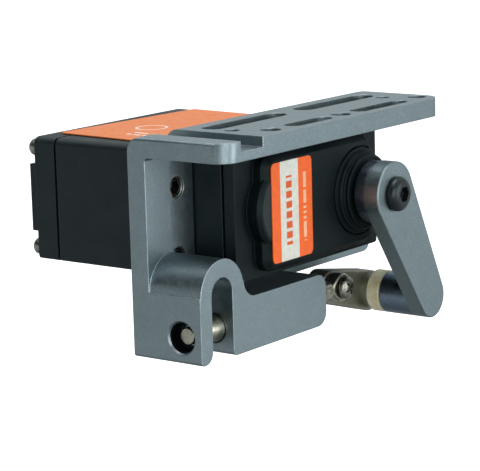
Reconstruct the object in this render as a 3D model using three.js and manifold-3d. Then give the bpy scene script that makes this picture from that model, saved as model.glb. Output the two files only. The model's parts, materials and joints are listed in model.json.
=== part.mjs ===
// Servo-driven line release: a milled angle bracket with a hook, a standard-size servo lying in its
// window, and a crank and link that draw a pin out of the hook. Units are millimetres, +Z is up.
// Everything is laid out from the bracket's corner: x = 0 on the outer face of its wall, y = 0 on its
// front face, z = 0 on top of its plate. The last lines move the origin to the middle of the plate.
import * as THREE from "three";
import { mergeVertices } from "three/addons/utils/BufferGeometryUtils.js";
import Module from "manifold-3d";

const wasm = await Module();
wasm.setup();

// ---- driving dimensions -------------------------------------------------------------------------

const GAP = 0.3; // clearance between pieces that touch on the real object
const SKIN = 0.1; // clearance under stuck-on and clamped pieces
const PAST = 1; // how far a cutter runs past the face it opens
const CHORD = 0.025; // how far a straight facet may stand off the arc that it replaces

const BRACKET = {
  length: 60.5, width: 18.7, plate: 3.1, wall: 3.3, wallDrop: 27.7, height: 34.2,
  spineRadius: 2.4, innerRadius: 0.6, lipRadius: 0.6, frontRadius: 2.7, backRadius: 3.6, tailRadius: 1.8,
};
const GROOVE = { from: 3.8, to: 9.3, depth: 1.6 };
const SLOTS = [ // in the plate: x, first and last arc centre along y, width
  { x: 6.35, from: 13.4, to: 29.4, width: 3.95 },
  { x: 6.35, from: 37.6, to: 54.4, width: 3.95 },
  { x: 15.6, from: 21.5, to: 29.5, width: 3.2 },
  { x: 15.6, from: 39.6, to: 51.3, width: 3.2 },
];
const PLATE_HOLES = [ // x, y, diameter
  [15.6, 15.55, 3.4], [15.6, 34.5, 3.4], [15.1, 57.8, 3.3], [10.7, 12.25, 2.5], [10.2, 54.9, 2.5],
];
const HOOK = {
  width: 13.15, archY: 5.52, archZ: -23.9, archRadius: 5.35, stepZ: -23.8,
  slotFrom: 2.82, slotTo: 8.02, slotArchZ: -24, tipRadius: 1.8, mouthRadius: 0.8, cornerRadius: 0.6,
  flankRadius: 3, footTop: -25.75, footEnd: 32.9, footRadius: 2.2,
};
const PIN = {
  x: 9.32, z: -30.17, tipY: 1.4, tipRadius: 1.4, coneFrom: 3, coneTo: 8.2, radius: 2.3, shoulderY: 20,
  rodRadius: 1.5, rodEnd: 38.6, bore: 4.8, rodBore: 3.6, boreEnd: 29.3, mouth: 5.4, mouthDepth: 0.3,
};
const SERVO = {
  near: 11.8, far: 50.9, top: -3.6, bottom: -23.9, corner: 1.2, lowCorner: 0.5, wall: 1.6, cavityCorner: 4,
  rear: -30.1, rearSeam: -25.35, frontSeam: 8.9, tier: 11.16, face: 13.6, seam: 0.5, edge: 0.35,
};
const EAR = { back: -3, front: -0.2, reach: 7.3, inset: 0.9, holeInset: 3.05, hole: 2.7, corner: 1.2 };
const EAR_SCREWS = { z: [-8.7, -19.7], wallRadius: 1.72, blind: 1.3 };
const EAR_SCREW = { radius: 1.5, from: -2.9, to: 3, socket: 1.1, socketDepth: 1.6 };
const INSERT = { inner: 1.8, outer: 2.4 };
const CASE_SCREW = {
  inset: 2, high: 2, low: 1.7, radius: 0.8, hole: 1.1,
  head: 1.45, headHeight: 1.75, headChamfer: 0.6, end: 10.2,
};
const SEAL = { inset: 0.5, corner: 0.6 };
const REAR_PANEL = { top: -8.3, bottom: -19.5, inset: 1, height: 2, edge: 0.3 };
const PLATEAU = { near: 16.6, far: 46.5, margin: 0.95, corner: 2.2, chamfer: 1, wall: 1.4, bossRadius: 7.9 };
const BULGE = { y: 21.8, z: -13.2, radius: 7, chamfer: 0.55 };
const OUTPUT = { y: 42.4, z: -13.65 };
const COLLAR = {
  pocket: 7.4, pocketDepth: 0.7, flange: 7.1, flangeTop: 13.8, neck: 6.2, top: 15.5, bore: 3.1,
};
const BEARING = { inner: 3.1, outer: 5, from: 10, to: 11.9 };
const SEAT = { wall: 6.9, from: 9.3 }; // the tube round the bearing inside the gear cover
const BULKHEAD = { from: 1, to: 2.2 };
const LABEL = { thickness: 0.15, corner: 0.8 };
const FRONT_LABEL = { near: 17.8, far: 28.55, top: -5.8, bottom: -21.6 };
const TOP_LABEL = { x: -14, y: 31.9, width: 26, length: 33, skew: THREE.MathUtils.degToRad(-4) };
const GLAND = { x: -20.5, plug: 2.3, flange: 3.6, tip: 2.5, bore: 1.7, flangeTo: 1.4, reach: 5.4 };

// The gear train runs in three layers from the motor to the output shaft.
const LAYERS = [[2.9, 4.2], [4.6, 6.1], [6.5, 8.8]];
const STAGES = [ // module, teeth of the driving pinion, teeth of the driven wheel
  { module: 0.25, pinion: 10, wheel: 40 },
  { module: 0.3, pinion: 10, wheel: 32 },
  { module: 0.35, pinion: 10, wheel: 34 },
];
const TOOTH = { dip: 1, rise: 0.75, root: 0.3, tip: 0.12 }; // in modules, and in shares of the pitch
const ARBOR = { radius: 0.6, from: 1.3, to: 11.8, bore: 0.75 };
const MOTOR = { radius: 7.4, from: -20, to: 0.8, shaft: 0.6, nose: 2.6, noseTo: 1.9, cap: 1.8 };
const POT = { radius: 5, from: -6.5, to: 0.7, tail: 1.4, tailFrom: -9 };
const PCB = { from: -24, to: -22.6, inset: 2.6, corner: 4.6 };
const OUTPUT_SHAFT = {
  stub: 2, journal: 2.9, spline: 2.4, from: 1.3, journalFrom: 9.1, splineFrom: 13, to: 18.6,
};

const CRANK = {
  back: 17.7, front: 20.6, big: 5.25, small: 3.55, hub: 5.1, hubFrom: 15.8, boss: 3.55, bossFrom: 11.95,
  throw: 22.2, lean: THREE.MathUtils.degToRad(30), bore: 2.75, boreTo: 19, screwBore: 1.8,
};
const HORN_SCREW = {
  radius: 1.5, head: 2.85, height: 1.65, socket: 1.15, socketDepth: 0.9, from: 12.6,
  dome: [[1, 0], [1, 0.45], [0.9, 0.7], [0.6, 0.95], [0, 1]], // shares of the head's radius and height
};
const WASHER = { radius: 3.55, bore: 1.75, from: 9.5, to: 11.85 };
const LINK = {
  from: 4.5, to: 8, hubTo: 9.4, hub: 3.15, big: 3.5, small: 2.85, drop: 0.3, // of the bar under its holes
  bore: 1.75, sink: 2.6, sinkTo: 6.1, tap: 1.4,
};
const CRANK_PIN = { radius: 1.45, head: 2.3, from: 4.7, headTo: 5.8, to: 17.2, bossBore: 1.75 };
const PIVOT = {
  y: 41.9, radius: 1.1, head: 1.9, from: 5, headFrom: 10.7, headTo: 11.8,
  dome: [[1, 0], [1, 0.35], [0.85, 0.75], [0.45, 1], [0, 1]],
};
const EYE = { radius: 2.4, hole: 1.7, from: 8.3, to: 10.4, stem: 1.5, stemFrom: 38.9 };

// ---- places worked out from them ----------------------------------------------------------------

const servoMid = (SERVO.near + SERVO.far) / 2;
const earScrewY = [SERVO.near - EAR.reach + EAR.holeInset, SERVO.far + EAR.reach - EAR.holeInset];
const crankEnd = {
  y: OUTPUT.y + CRANK.throw * Math.sin(CRANK.lean),
  z: OUTPUT.z - CRANK.throw * Math.cos(CRANK.lean),
};
const centreDistance = ({ module, pinion, wheel }) => (module * (pinion + wheel)) / 2;
// Axes from the output shaft back to the motor, one stage apart along the case.
const axisY = [OUTPUT.y];
for (const stage of [...STAGES].reverse()) axisY.unshift(axisY[0] - centreDistance(stage));

// ---- materials ----------------------------------------------------------------------------------

const material = (color, roughness, metalness) =>
  new THREE.MeshStandardMaterial({ color, roughness, metalness });
const ANODISED = material(0x6f7f88, 0.42, 0.85);
const CRANK_GREY = material(0x6a7a82, 0.4, 0.85);
const BLACK_CASE = material(0x15191b, 0.55, 0.1);
const BLACK_METAL = material(0x202428, 0.4, 0.8);
const STEEL = material(0xa9a796, 0.3, 1);
const BRASS = material(0xb59a55, 0.35, 1);
const NYLON = material(0xd9d2b2, 0.5, 0);
const RUBBER = material(0x111314, 0.85, 0);
const ORANGE = material(0xde6c2a, 0.5, 0);
const LINK_GREY = material(0x5c5c55, 0.45, 0.8);
const BOARD = material(0x1f5a3a, 0.6, 0);

// ---- shape helpers ------------------------------------------------------------------------------

/** How many facets follow a turn of an arc closely enough. */
const facets = (radius, turn = 2 * Math.PI) =>
  Math.max(2, Math.round(Math.abs(turn) / (2 * Math.acos(1 - CHORD / Math.max(radius, 4 * CHORD)))));

/** Points of an arc round (a, b), from one angle to another, both ends included. */
function arc(a, b, radius, from, to) {
  const steps = facets(radius, to - from);
  return Array.from({ length: steps + 1 }, (_, i) => {
    const t = from + ((to - from) * i) / steps;
    return new THREE.Vector2(a + radius * Math.cos(t), b + radius * Math.sin(t));
  });
}

const circle = (a, b, radius) => new THREE.Shape(arc(a, b, radius, 0, 2 * Math.PI).slice(0, -1));

/** A closed outline through the corners [a, b, radius], each rounded by an arc of its radius. */
function outline(corners) {
  const corner = (i) => {
    const [a, b] = corners[(i + corners.length) % corners.length];
    return new THREE.Vector2(a, b);
  };
  const points = corners.flatMap(([, , radius = 0], i) => {
    const here = corner(i);
    if (!radius) return [here];
    const back = corner(i - 1).sub(here).normalize();
    const ahead = corner(i + 1).sub(here).normalize();
    const half = Math.acos(back.dot(ahead)) / 2;
    const toCentre = back.clone().add(ahead).setLength(radius / Math.sin(half));
    const start = back.setLength(radius / Math.tan(half)).sub(toCentre);
    const end = ahead.setLength(radius / Math.tan(half)).sub(toCentre);
    const turn = Math.atan2(start.cross(end), start.dot(end));
    const centre = here.add(toCentre);
    return arc(centre.x, centre.y, radius, start.angle(), start.angle() + turn);
  });
  return new THREE.Shape(points);
}

const rectangle = (a0, a1, b0, b1, radius = 0) =>
  outline([[a0, b0, radius], [a1, b0, radius], [a1, b1, radius], [a0, b1, radius]]);

/** The outline of a bar with a round end of its own radius at each of two centres. */
function tapered(a0, b0, radius0, a1, b1, radius1) {
  const angle = Math.atan2(b1 - b0, a1 - a0);
  const spread = Math.acos((radius0 - radius1) / Math.hypot(a1 - a0, b1 - b0));
  return new THREE.Shape([
    ...arc(a1, b1, radius1, angle - spread, angle + spread),
    ...arc(a0, b0, radius0, angle + spread, angle + 2 * Math.PI - spread),
  ]);
}

const hexagon = (a, b, across) => {
  const radius = across / Math.sqrt(3);
  const corners = Array.from({ length: 6 }, (_, i) => {
    const t = (i * Math.PI) / 3;
    return [a + radius * Math.cos(t), b + radius * Math.sin(t)];
  });
  return outline(corners);
};

/** A solid from a closed geometry. */
function solid(geometry) {
  const bare = geometry.index ? geometry.toNonIndexed() : geometry;
  bare.deleteAttribute("normal");
  bare.deleteAttribute("uv");
  const merged = mergeVertices(bare, 1e-4);
  const made = new wasm.Manifold(new wasm.Mesh({
    numProp: 3,
    vertProperties: merged.attributes.position.array,
    triVerts: new Uint32Array(merged.index.array),
  }));
  if (made.volume() < 0) throw new Error("a profile is drawn inside out");
  return made;
}

// How an outline drawn on the a-b plane is turned: along X it is (y, z), along Y it is (x, z) and
// along Z it is (x, y).
const TURN = {
  X: new THREE.Matrix4().set(0, 0, 1, 0, 1, 0, 0, 0, 0, 1, 0, 0, 0, 0, 0, 1),
  Y: new THREE.Matrix4().set(1, 0, 0, 0, 0, 0, -1, 0, 0, 1, 0, 0, 0, 0, 0, 1),
  Z: new THREE.Matrix4(),
};

/** An outline pushed along an axis from one coordinate to another, with chamfered rims. */
function prism(axis, shape, from, to, chamfer = 0) {
  const geometry = new THREE.ExtrudeGeometry(shape, {
    depth: to - from - 2 * chamfer,
    bevelEnabled: chamfer > 0,
    bevelThickness: chamfer,
    bevelSize: chamfer,
    bevelOffset: -chamfer,
    bevelSegments: 1,
  });
  geometry.translate(0, 0, axis === "Y" ? chamfer - to : from + chamfer);
  return solid(geometry.applyMatrix4(TURN[axis]));
}

const rod = (axis, a, b, radius, from, to, chamfer = 0) =>
  prism(axis, circle(a, b, radius), from, to, chamfer);

const LATHE_TURN = {
  X: new THREE.Matrix4().makeRotationZ(-Math.PI / 2),
  Y: new THREE.Matrix4(),
  Z: new THREE.Matrix4().makeRotationX(Math.PI / 2),
};

/** A solid of revolution: its profile holds [radius, distance along the axis] pairs. */
function turned(axis, a, b, profile) {
  const points = profile.map(([radius, along]) => new THREE.Vector2(radius, along));
  const sides = facets(Math.max(...profile.map(([radius]) => radius)));
  const geometry = new THREE.LatheGeometry(points, sides).applyMatrix4(LATHE_TURN[axis]);
  const [x, y, z] = { X: [0, a, b], Y: [a, 0, b], Z: [a, b, 0] }[axis];
  return solid(geometry.translate(x, y, z));
}

/** A ring: a turned rectangle between two radii. */
const ring = (axis, a, b, inner, outer, from, to) =>
  turned(axis, a, b, [[inner, from], [outer, from], [outer, to], [inner, to], [inner, from]]);

const joined = (...solids) => solids.reduce((a, b) => a.add(b));
const cut = (body, ...cutters) => cutters.reduce((a, b) => a.subtract(b), body);

/** A named mesh of a solid. */
function piece(name, made, look) {
  const { vertProperties, triVerts } = made.getMesh();
  const geometry = new THREE.BufferGeometry();
  geometry.setAttribute("position", new THREE.BufferAttribute(vertProperties, 3));
  geometry.setIndex(new THREE.BufferAttribute(triVerts, 1));
  geometry.computeVertexNormals();
  const mesh = new THREE.Mesh(geometry, look);
  mesh.name = name;
  return mesh;
}

// ---- bracket ------------------------------------------------------------------------------------

/** The angle section of plate and wall, along the whole length. */
function angleSection() {
  const { wall, wallDrop, width, plate, spineRadius, innerRadius } = BRACKET;
  return outline([
    [0, -wallDrop], [wall, -wallDrop], [wall, -plate, innerRadius], [width, -plate], [width, 0],
    [0, 0, spineRadius],
  ]);
}

/** The plan of the plate, which also trims the wall. */
function planOutline() {
  const { length, width, frontRadius, backRadius } = BRACKET;
  return outline([
    [0, 0], [width, 0, frontRadius], [width, length, backRadius], [0, length, backRadius],
  ]);
}

/** The side view of the hook block, before its slot is cut: an arch on a leg, and a long foot. */
function hookOutline() {
  const { archY, archZ, archRadius, stepZ, footTop, footEnd, footRadius, flankRadius, cornerRadius } = HOOK;
  const bottom = -BRACKET.height;
  const top = archZ + archRadius;
  const [front, flank] = [archY - archRadius, archY + archRadius];
  return outline([
    [0, bottom, cornerRadius], [footEnd, bottom, footRadius], [footEnd, footTop, footRadius],
    [flank, footTop, flankRadius], [flank, top, archRadius], [front, top, archRadius],
    [front, stepZ], [0, stepZ],
  ]);
}

/** The slot that the line hangs in: round at the top, with rounded lips at its mouth. */
function slotOutline() {
  const { slotFrom, slotTo, slotArchZ, tipRadius, mouthRadius } = HOOK;
  const bottom = -BRACKET.height;
  const radius = (slotTo - slotFrom) / 2;
  const [near, far] = [slotFrom - tipRadius - SKIN, slotTo + mouthRadius + SKIN];
  return outline([
    [slotFrom, bottom, tipRadius], [near, bottom], [near, bottom - PAST], [far, bottom - PAST],
    [far, bottom], [slotTo, bottom, mouthRadius],
    [slotTo, slotArchZ + radius, radius], [slotFrom, slotArchZ + radius, radius],
  ]);
}

function bracket() {
  const { length, width, plate, wall, wallDrop, height, tailRadius, lipRadius } = BRACKET;
  const angle = prism("Y", angleSection(), 0, length)
    .intersect(prism("Z", planOutline(), -height - PAST, PAST))
    .intersect(prism("X", outline([
      [0, 0, lipRadius], [0, -wallDrop], [length, -wallDrop, tailRadius], [length, 0],
    ]), -PAST, width + PAST));
  const hook = prism("X", hookOutline(), 0, HOOK.width);
  const corner = SERVO.lowCorner + GAP;
  const window = rectangle(SERVO.near - GAP, SERVO.far + GAP, SERVO.bottom - GAP, -plate, corner);
  const windowTop = rectangle(SERVO.near - GAP, SERVO.far + GAP, -plate - 2 * corner, -plate);
  const groove = rectangle(-PAST, width + PAST, GROOVE.from, GROOVE.to);
  const plateSlots = SLOTS.map(({ x, from, to, width: across }) =>
    prism("Z", tapered(x, from, across / 2, x, to, across / 2), -plate - PAST, PAST));
  const plateHoles = PLATE_HOLES.map(([x, y, diameter]) => rod("Z", x, y, diameter / 2, -plate - PAST, PAST));
  const earHoles = earScrewY.flatMap((y) => EAR_SCREWS.z.map((z) =>
    rod("X", y, z, EAR_SCREWS.wallRadius, -PAST, wall + EAR_SCREWS.blind)));
  return cut(
    joined(angle, hook),
    prism("X", slotOutline(), -PAST, HOOK.width + PAST),
    prism("X", window, -PAST, wall + SKIN),
    prism("X", windowTop, -PAST, wall + SKIN),
    prism("Z", groove, -GROOVE.depth, PAST),
    rod("Y", PIN.x, PIN.z, PIN.bore / 2, -PAST, PIN.boreEnd),
    rod("Y", PIN.x, PIN.z, PIN.rodBore / 2, PIN.boreEnd - PAST, HOOK.footEnd + PAST),
    turned("Y", PIN.x, PIN.z, [
      [0, -PAST], [PIN.mouth / 2, -PAST], [PIN.mouth / 2, 0], [PIN.bore / 2, PIN.mouthDepth],
      [0, PIN.mouthDepth],
    ]),
    ...plateSlots, ...plateHoles, ...earHoles,
  );
}

// ---- ear fastenings -----------------------------------------------------------------------------

/** A set screw through the wall into the ear, with its hexagon socket at the wall's face. */
function earScrew(y, z) {
  const { radius, from, to, socket, socketDepth } = EAR_SCREW;
  return cut(
    rod("X", y, z, radius, from, to),
    prism("X", hexagon(y, z, 2 * socket), to - socketDepth, to + PAST),
  );
}

/** The threaded bush in an ear's hole. */
const earInsert = (y, z) => ring("X", y, z, INSERT.inner, INSERT.outer, EAR.back, EAR.front);

// ---- servo case ---------------------------------------------------------------------------------

/** The case's section, inset from its surface. Its lower corners are sharper than its upper ones. */
function caseOutline(inset = 0, corner = SERVO.corner, lowCorner = SERVO.lowCorner) {
  const [near, far] = [SERVO.near + inset, SERVO.far - inset];
  const [low, high] = [SERVO.bottom + inset, SERVO.top - inset];
  return outline([
    [near, low, lowCorner], [far, low, lowCorner], [far, high, corner], [near, high, corner],
  ]);
}

/** The hollow of the case, with its corners cut off to leave room for the long screws. */
function cavityOutline() {
  const { near, far, top, bottom, wall, cavityCorner } = SERVO;
  const [y0, y1, z0, z1] = [near + wall, far - wall, bottom + wall, top - wall];
  return outline([
    [y0 + cavityCorner, z0], [y1 - cavityCorner, z0], [y1, z0 + cavityCorner], [y1, z1 - cavityCorner],
    [y1 - cavityCorner, z1], [y0 + cavityCorner, z1], [y0, z1 - cavityCorner], [y0, z0 + cavityCorner],
  ]);
}

const screwY = [SERVO.near + CASE_SCREW.inset, SERVO.far - CASE_SCREW.inset];
const screwZ = [SERVO.top - CASE_SCREW.high, SERVO.bottom + CASE_SCREW.low];
const screwPlaces = screwY.flatMap((y) => screwZ.map((z) => [y, z]));
const screwHoles = (from, to) => screwPlaces.map(([y, z]) => rod("X", y, z, CASE_SCREW.hole, from, to));

function midCase() {
  const from = SERVO.rearSeam + SERVO.seam / 2;
  const to = SERVO.frontSeam - SERVO.seam / 2;
  const ears = prism("X", rectangle(
    SERVO.near - EAR.reach, SERVO.far + EAR.reach,
    SERVO.bottom + EAR.inset, SERVO.top - EAR.inset, EAR.corner,
  ), EAR.back, EAR.front);
  const floor = prism("X", caseOutline(SERVO.wall / 2), BULKHEAD.from, BULKHEAD.to);
  const tube = cut(
    joined(prism("X", caseOutline(), from, to), ears),
    prism("X", cavityOutline(), from - PAST, to + PAST),
  );
  const earHoles = earScrewY.flatMap((y) => EAR_SCREWS.z.map((z) =>
    rod("X", y, z, EAR.hole, EAR.back - PAST, EAR.front + PAST)));
  const shaftRadii = [MOTOR.nose + GAP, ARBOR.bore, ARBOR.bore, OUTPUT_SHAFT.stub + GAP];
  const shaftHoles = axisY.map((y, i) => rod("X", y, OUTPUT.z, shaftRadii[i], 0, BULKHEAD.to + PAST));
  return cut(
    joined(tube, floor), ...earHoles, ...shaftHoles, ...screwHoles(from - PAST, to + PAST),
    rod("Y", GLAND.x, OUTPUT.z, GLAND.plug + GAP, SERVO.far - SERVO.wall - PAST, SERVO.far + PAST),
  );
}

function rearCover() {
  const to = SERVO.rearSeam - SERVO.seam / 2;
  const panel = prism("X", rectangle(
    SERVO.near + REAR_PANEL.inset, SERVO.far - REAR_PANEL.inset, REAR_PANEL.bottom, REAR_PANEL.top,
  ), SERVO.rear - REAR_PANEL.height, SERVO.rear + PAST, REAR_PANEL.edge);
  const cup = prism("X", caseOutline(), SERVO.rear, SERVO.rear + 2 * PAST, SERVO.edge)
    .add(prism("X", caseOutline(), SERVO.rear + PAST, to));
  return cut(
    joined(cup, panel),
    prism("X", cavityOutline(), SERVO.rear + SERVO.wall, to + PAST),
    ...screwHoles(SERVO.rear - 2 * PAST, to + PAST),
  );
}

/** The frame-shaped seal that sits a little below the surface of the case at a seam. */
function seal(x) {
  const half = SERVO.seam / 2 - SKIN;
  return cut(
    prism("X", caseOutline(SEAL.inset, SEAL.corner), x - half, x + half),
    prism("X", cavityOutline(), x - PAST, x + PAST),
    ...screwHoles(x - PAST, x + PAST),
  );
}

function gearCover() {
  const from = SERVO.frontSeam + SERVO.seam / 2;
  const { face, top, bottom, tier } = SERVO;
  const { near, far, margin, corner, chamfer, wall, bossRadius } = PLATEAU;
  const low = bottom + margin;
  const high = top - margin;
  const raised = [
    prism("X", rectangle(near, far, low, high, corner), from, face, chamfer),
    rod("X", BULGE.y, BULGE.z, BULGE.radius, from, face, BULGE.chamfer),
    rod("X", OUTPUT.y, OUTPUT.z, bossRadius, from, face, chamfer),
  ];
  const ceiling = face - wall;
  const hollow = joined(
    prism("X", cavityOutline(), from - PAST, tier - wall),
    prism("X", rectangle(near + wall, far - wall, low + wall, high - wall, corner), from, ceiling),
  ).subtract(rod("X", OUTPUT.y, OUTPUT.z, SEAT.wall, SEAT.from, ceiling + PAST));
  return cut(
    joined(prism("X", caseOutline(), from, tier), ...raised),
    hollow,
    rod("X", OUTPUT.y, OUTPUT.z, BEARING.outer + SKIN, from - PAST, BEARING.to + SKIN),
    rod("X", OUTPUT.y, OUTPUT.z, COLLAR.bore, BEARING.to, face + PAST),
    rod("X", OUTPUT.y, OUTPUT.z, COLLAR.pocket, face - COLLAR.pocketDepth, face + PAST),
    ...screwHoles(from - PAST, CASE_SCREW.end + GAP),
  );
}

/** The stepped ring round the output shaft, in its pocket in the gear cover. */
function collar() {
  const { flange, flangeTop, neck, top, bore } = COLLAR;
  const foot = SERVO.face - COLLAR.pocketDepth + SKIN;
  return turned("X", OUTPUT.y, OUTPUT.z, [
    [bore, foot], [flange, foot], [flange, flangeTop], [neck, flangeTop + SKIN], [neck, top - GAP],
    [neck - GAP, top], [bore, top], [bore, foot],
  ]);
}

function caseScrew(y, z) {
  const { radius, head, headHeight, headChamfer, end } = CASE_SCREW;
  const under = SERVO.rear - SKIN;
  return joined(
    rod("X", y, z, radius, under - headHeight + headChamfer, end),
    rod("X", y, z, head, under - headHeight, under, headChamfer),
  );
}

function cableGland() {
  const { x, plug, flange, tip, bore, flangeTo, reach } = GLAND;
  const out = (distance) => SERVO.far + distance;
  return turned("Y", x, OUTPUT.z, [
    [bore, out(-SERVO.wall)], [plug, out(-SERVO.wall)], [plug, out(SKIN)], [flange, out(SKIN)],
    [flange, out(flangeTo)], [tip + GAP, out(flangeTo + GAP)], [tip, out(reach)], [bore, out(reach)],
    [bore, out(-SERVO.wall)],
  ]);
}

function frontLabel() {
  const { near, far, top, bottom } = FRONT_LABEL;
  const from = SERVO.face + SKIN;
  return prism("X", rectangle(near, far, bottom, top, LABEL.corner), from, from + LABEL.thickness);
}

/** The label on top of the case, stuck on a little askew. */
function topLabel() {
  const { x, y, width, length, skew } = TOP_LABEL;
  const shape = rectangle(-width / 2, width / 2, -length / 2, length / 2, LABEL.corner);
  const from = SERVO.top + SKIN;
  return prism("Z", shape, from, from + LABEL.thickness)
    .rotate([0, 0, THREE.MathUtils.radToDeg(skew)]).translate([x, y, 0]);
}

// ---- inside the servo ---------------------------------------------------------------------------

/** A spur gear's outline: straight-sided teeth, one of them pointing at the angle phase. */
function gearOutline(module, teeth, y, phase) {
  const pitch = (2 * Math.PI) / teeth;
  const radius = (module * teeth) / 2;
  const [low, high] = [radius - TOOTH.dip * module, radius + TOOTH.rise * module];
  const points = Array.from({ length: teeth }, (_, i) =>
    [[low, -TOOTH.root], [high, -TOOTH.tip], [high, TOOTH.tip], [low, TOOTH.root]].map(([r, share]) => {
      const t = phase + (i + share) * pitch;
      return new THREE.Vector2(y + r * Math.cos(t), OUTPUT.z + r * Math.sin(t));
    })).flat();
  return new THREE.Shape(points);
}

/** The wheel driven by stage n, which faces its pinion with a gap, and the pinion of the next stage. */
const wheel = (n) => {
  const { module, wheel: teeth } = STAGES[n];
  const phase = Math.PI + Math.PI / teeth;
  return prism("X", gearOutline(module, teeth, axisY[n + 1], phase), ...LAYERS[n]);
};
const pinion = (n) => {
  const { module, pinion: teeth } = STAGES[n];
  return prism("X", gearOutline(module, teeth, axisY[n], 0), ...LAYERS[n]);
};

/** A compound gear on its arbor: the wheel of one stage with the pinion of the next. */
function compoundGear(n) {
  const hub = rod("X", axisY[n + 1], OUTPUT.z, ARBOR.bore + GAP, LAYERS[n][0], LAYERS[n + 1][1]);
  const bore = rod("X", axisY[n + 1], OUTPUT.z, ARBOR.bore, 0, SERVO.face);
  return cut(joined(wheel(n), hub, pinion(n + 1)), bore);
}

const arbor = (n) => rod("X", axisY[n], OUTPUT.z, ARBOR.radius, ARBOR.from, ARBOR.to);

function motorCan() {
  const { radius, from, to, nose, noseTo, cap } = MOTOR;
  const [y, z] = [axisY[0], OUTPUT.z];
  const can = joined(
    rod("X", y, z, radius, from, to, SERVO.edge), rod("X", y, z, nose, to - PAST, noseTo),
    rod("X", y, z, nose, from - cap, from + PAST),
  );
  return cut(can, rod("X", y, z, MOTOR.shaft + SKIN, to - 2 * PAST, noseTo + PAST));
}

const motorPinion = () =>
  joined(pinion(0), rod("X", axisY[0], OUTPUT.z, MOTOR.shaft, MOTOR.to - PAST, LAYERS[0][1] + GAP));

function potentiometer() {
  const { radius, from, to, tail, tailFrom } = POT;
  return joined(
    rod("X", OUTPUT.y, OUTPUT.z, radius, from, to, SERVO.edge),
    rod("X", OUTPUT.y, OUTPUT.z, tail, tailFrom, from + PAST),
  );
}

const circuitBoard = () =>
  prism("X", caseOutline(PCB.inset, PCB.corner, PCB.corner), PCB.from, PCB.to);

function outputGear() {
  const bore = rod("X", OUTPUT.y, OUTPUT.z, OUTPUT_SHAFT.stub + GAP, 0, SERVO.face);
  return cut(wheel(2), bore);
}

function outputShaft() {
  const { stub, journal, spline, from, journalFrom, splineFrom, to } = OUTPUT_SHAFT;
  return cut(
    joined(
      rod("X", OUTPUT.y, OUTPUT.z, stub, from, to),
      rod("X", OUTPUT.y, OUTPUT.z, journal, journalFrom, splineFrom),
      rod("X", OUTPUT.y, OUTPUT.z, spline, splineFrom - PAST, to, SKIN),
    ),
    rod("X", OUTPUT.y, OUTPUT.z, CRANK.screwBore, HORN_SCREW.from - GAP, to + PAST),
  );
}

// ---- crank, link and pin ------------------------------------------------------------------------

function crankArm() {
  const { back, front, big, small, hub, hubFrom, boss, bossFrom, bore, boreTo, screwBore } = CRANK;
  const arm = tapered(OUTPUT.y, OUTPUT.z, big, crankEnd.y, crankEnd.z, small);
  return cut(
    joined(
      prism("X", arm, back, front),
      rod("X", OUTPUT.y, OUTPUT.z, hub, hubFrom, back + PAST),
      rod("X", crankEnd.y, crankEnd.z, boss, bossFrom, back + PAST),
    ),
    rod("X", OUTPUT.y, OUTPUT.z, bore, hubFrom - PAST, boreTo),
    rod("X", OUTPUT.y, OUTPUT.z, screwBore, back, front + PAST),
    rod("X", crankEnd.y, crankEnd.z, CRANK_PIN.bossBore, bossFrom - PAST, CRANK_PIN.to + GAP),
  );
}

function hornScrew() {
  const { radius, head, height, socket, socketDepth, from, dome } = HORN_SCREW;
  const seat = CRANK.front + SKIN;
  return cut(
    turned("X", OUTPUT.y, OUTPUT.z, [
      [0, from], [radius, from], [radius, seat],
      ...dome.map(([across, up]) => [across * head, seat + up * height]),
    ]),
    prism("X", hexagon(OUTPUT.y, OUTPUT.z, 2 * socket), seat + height - socketDepth, seat + height + PAST),
  );
}

const outputBearing = () =>
  ring("X", OUTPUT.y, OUTPUT.z, BEARING.inner, BEARING.outer, BEARING.from, BEARING.to);

const crankWasher = () =>
  ring("X", crankEnd.y, crankEnd.z, WASHER.bore, WASHER.radius, WASHER.from, WASHER.to);

/** The flat link: a tapered bar from the crank pin to the pivot screw, with a hub at the crank pin. */
function link() {
  const { from, to, hubTo, hub, big, small, drop, bore, sink, sinkTo, tap } = LINK;
  const bar = tapered(crankEnd.y, crankEnd.z - drop, big, PIVOT.y, PIN.z - drop, small);
  return cut(
    joined(prism("X", bar, from, to), rod("X", crankEnd.y, crankEnd.z, hub, to - PAST, hubTo)),
    rod("X", crankEnd.y, crankEnd.z, bore, from - PAST, hubTo + PAST),
    rod("X", crankEnd.y, crankEnd.z, sink, from - PAST, sinkTo),
    rod("X", PIVOT.y, PIN.z, tap, from - PAST, to + PAST),
  );
}

const crankPin = () => joined(
  rod("X", crankEnd.y, crankEnd.z, CRANK_PIN.radius, CRANK_PIN.from, CRANK_PIN.to),
  rod("X", crankEnd.y, crankEnd.z, CRANK_PIN.head, CRANK_PIN.from, CRANK_PIN.headTo),
);

/** The cross-headed screw through the rod eye, which turns with the link. */
function pivotScrew() {
  const { y, radius, head, from, headFrom, headTo, dome } = PIVOT;
  return turned("X", y, PIN.z, [
    [0, from], [radius, from], [radius, headFrom],
    ...dome.map(([across, up]) => [across * head, headFrom + up * (headTo - headFrom)]),
  ]);
}

/** The flat eye on the end of the release pin. Its hole is oversize, so the link can swing in it. */
function rodEye() {
  const { radius, hole, from, to, stem, stemFrom } = EYE;
  return cut(
    prism("X", tapered(stemFrom + stem, PIN.z, stem, PIVOT.y, PIN.z, radius), from, to),
    rod("X", PIVOT.y, PIN.z, hole, from - PAST, to + PAST),
  );
}

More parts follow.
